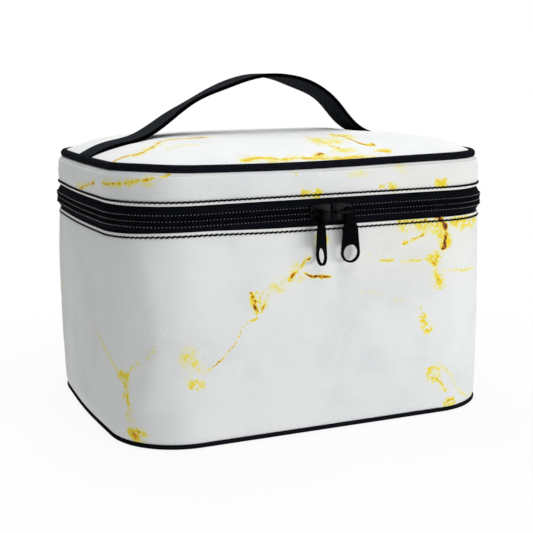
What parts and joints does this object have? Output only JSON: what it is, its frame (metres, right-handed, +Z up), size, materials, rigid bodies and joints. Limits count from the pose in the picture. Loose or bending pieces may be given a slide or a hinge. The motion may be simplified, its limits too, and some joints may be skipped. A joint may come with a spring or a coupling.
{
  "type": "makeup train case",
  "caption": "Soft box-shaped cosmetics case with rounded corners, a zip-round hinged lid, piped edges, paired zip pulls and a webbing top handle.",
  "frame": {"origin": "middle of the flat bottom face, on the table", "axes": "+Z up, +X to the right along the case, -Y out of the front"},
  "size_m": [0.2228, 0.1878, 0.19],
  "materials": {
    "print_cloth": "white satin cloth printed with amber marble veins",
    "foam": "open cell padding",
    "lining": "grey polyester twill",
    "stiffener": "plain sheet",
    "piping": "black woven piping",
    "cord": "twisted filler cord",
    "binding": "black grosgrain binding",
    "zip_tape": "black woven tape",
    "zip_coil": "black nylon coil",
    "webbing": "black woven webbing",
    "enamel": "glossy black enamel"
  },
  "bodies": {
    "base": {"body_wall_cloth": "print_cloth", "body_foam": "foam", "body_lining": "lining", "bottom_panel": "print_cloth", "bottom_board": "stiffener", "bottom_lining": "lining", "bottom_piping": "piping", "bottom_piping_cord": "cord", "body_seam_binding": "binding", "zip_tape_lower": "zip_tape", "zip_coil_lower": "zip_coil", "hinge_panel": "print_cloth", "hinge_lining": "lining"},
    "lid": {"lid_band_cloth": "print_cloth", "lid_band_foam": "foam", "lid_band_lining": "lining", "lid_top_cloth": "print_cloth", "lid_top_foam": "foam", "lid_board": "stiffener", "lid_top_lining": "lining", "lid_piping": "piping", "lid_piping_cord": "cord", "lid_seam_binding": "binding", "zip_tape_upper": "zip_tape", "zip_coil_upper": "zip_coil", "handle_leg_left": "webbing", "handle_leg_right": "webbing"},
    "handle": {"handle_strap": "webbing"},
    "slider_left": {"slider_left": "enamel"},
    "slider_right": {"slider_right": "enamel"},
    "pull_left": {"pull_left": "enamel"},
    "pull_right": {"pull_right": "enamel"}
  },
  "joints": [
    {"name": "lid_hinge", "type": "hinge", "parent": "base", "child": "lid", "pos_m": [0, 0.0891, 0.11875], "axis": [-1, 0, 0], "range_deg": [0, 170], "deforming": ["hinge_panel", "hinge_lining"]},
    {"name": "handle_tilt", "type": "hinge", "parent": "lid", "child": "handle", "pos_m": [0, 0, 0.14845], "axis": [1, 0, 0], "range_deg": [-35, 35], "stiffness_Nm_per_rad": 0.02, "deforming": ["handle_leg_left", "handle_leg_right"]},
    {"name": "slider_left_slide", "type": "slide", "parent": "base", "child": "slider_left", "axis": [-1, 0, 0], "range_m": [0, 0.058]},
    {"name": "slider_right_slide", "type": "slide", "parent": "base", "child": "slider_right", "axis": [1, 0, 0], "range_m": [0, 0.057]},
    {"name": "pull_left_swing", "type": "hinge", "parent": "slider_left", "child": "pull_left", "pos_m": [-0.0067, -0.09355, 0.11875], "axis": [-1, 0, 0], "range_deg": [0, 150]},
    {"name": "pull_right_swing", "type": "hinge", "parent": "slider_right", "child": "pull_right", "pos_m": [0.0111, -0.09165, 0.11875], "axis": [0, -1, 0], "range_deg": [-25, 75]}
  ]
}
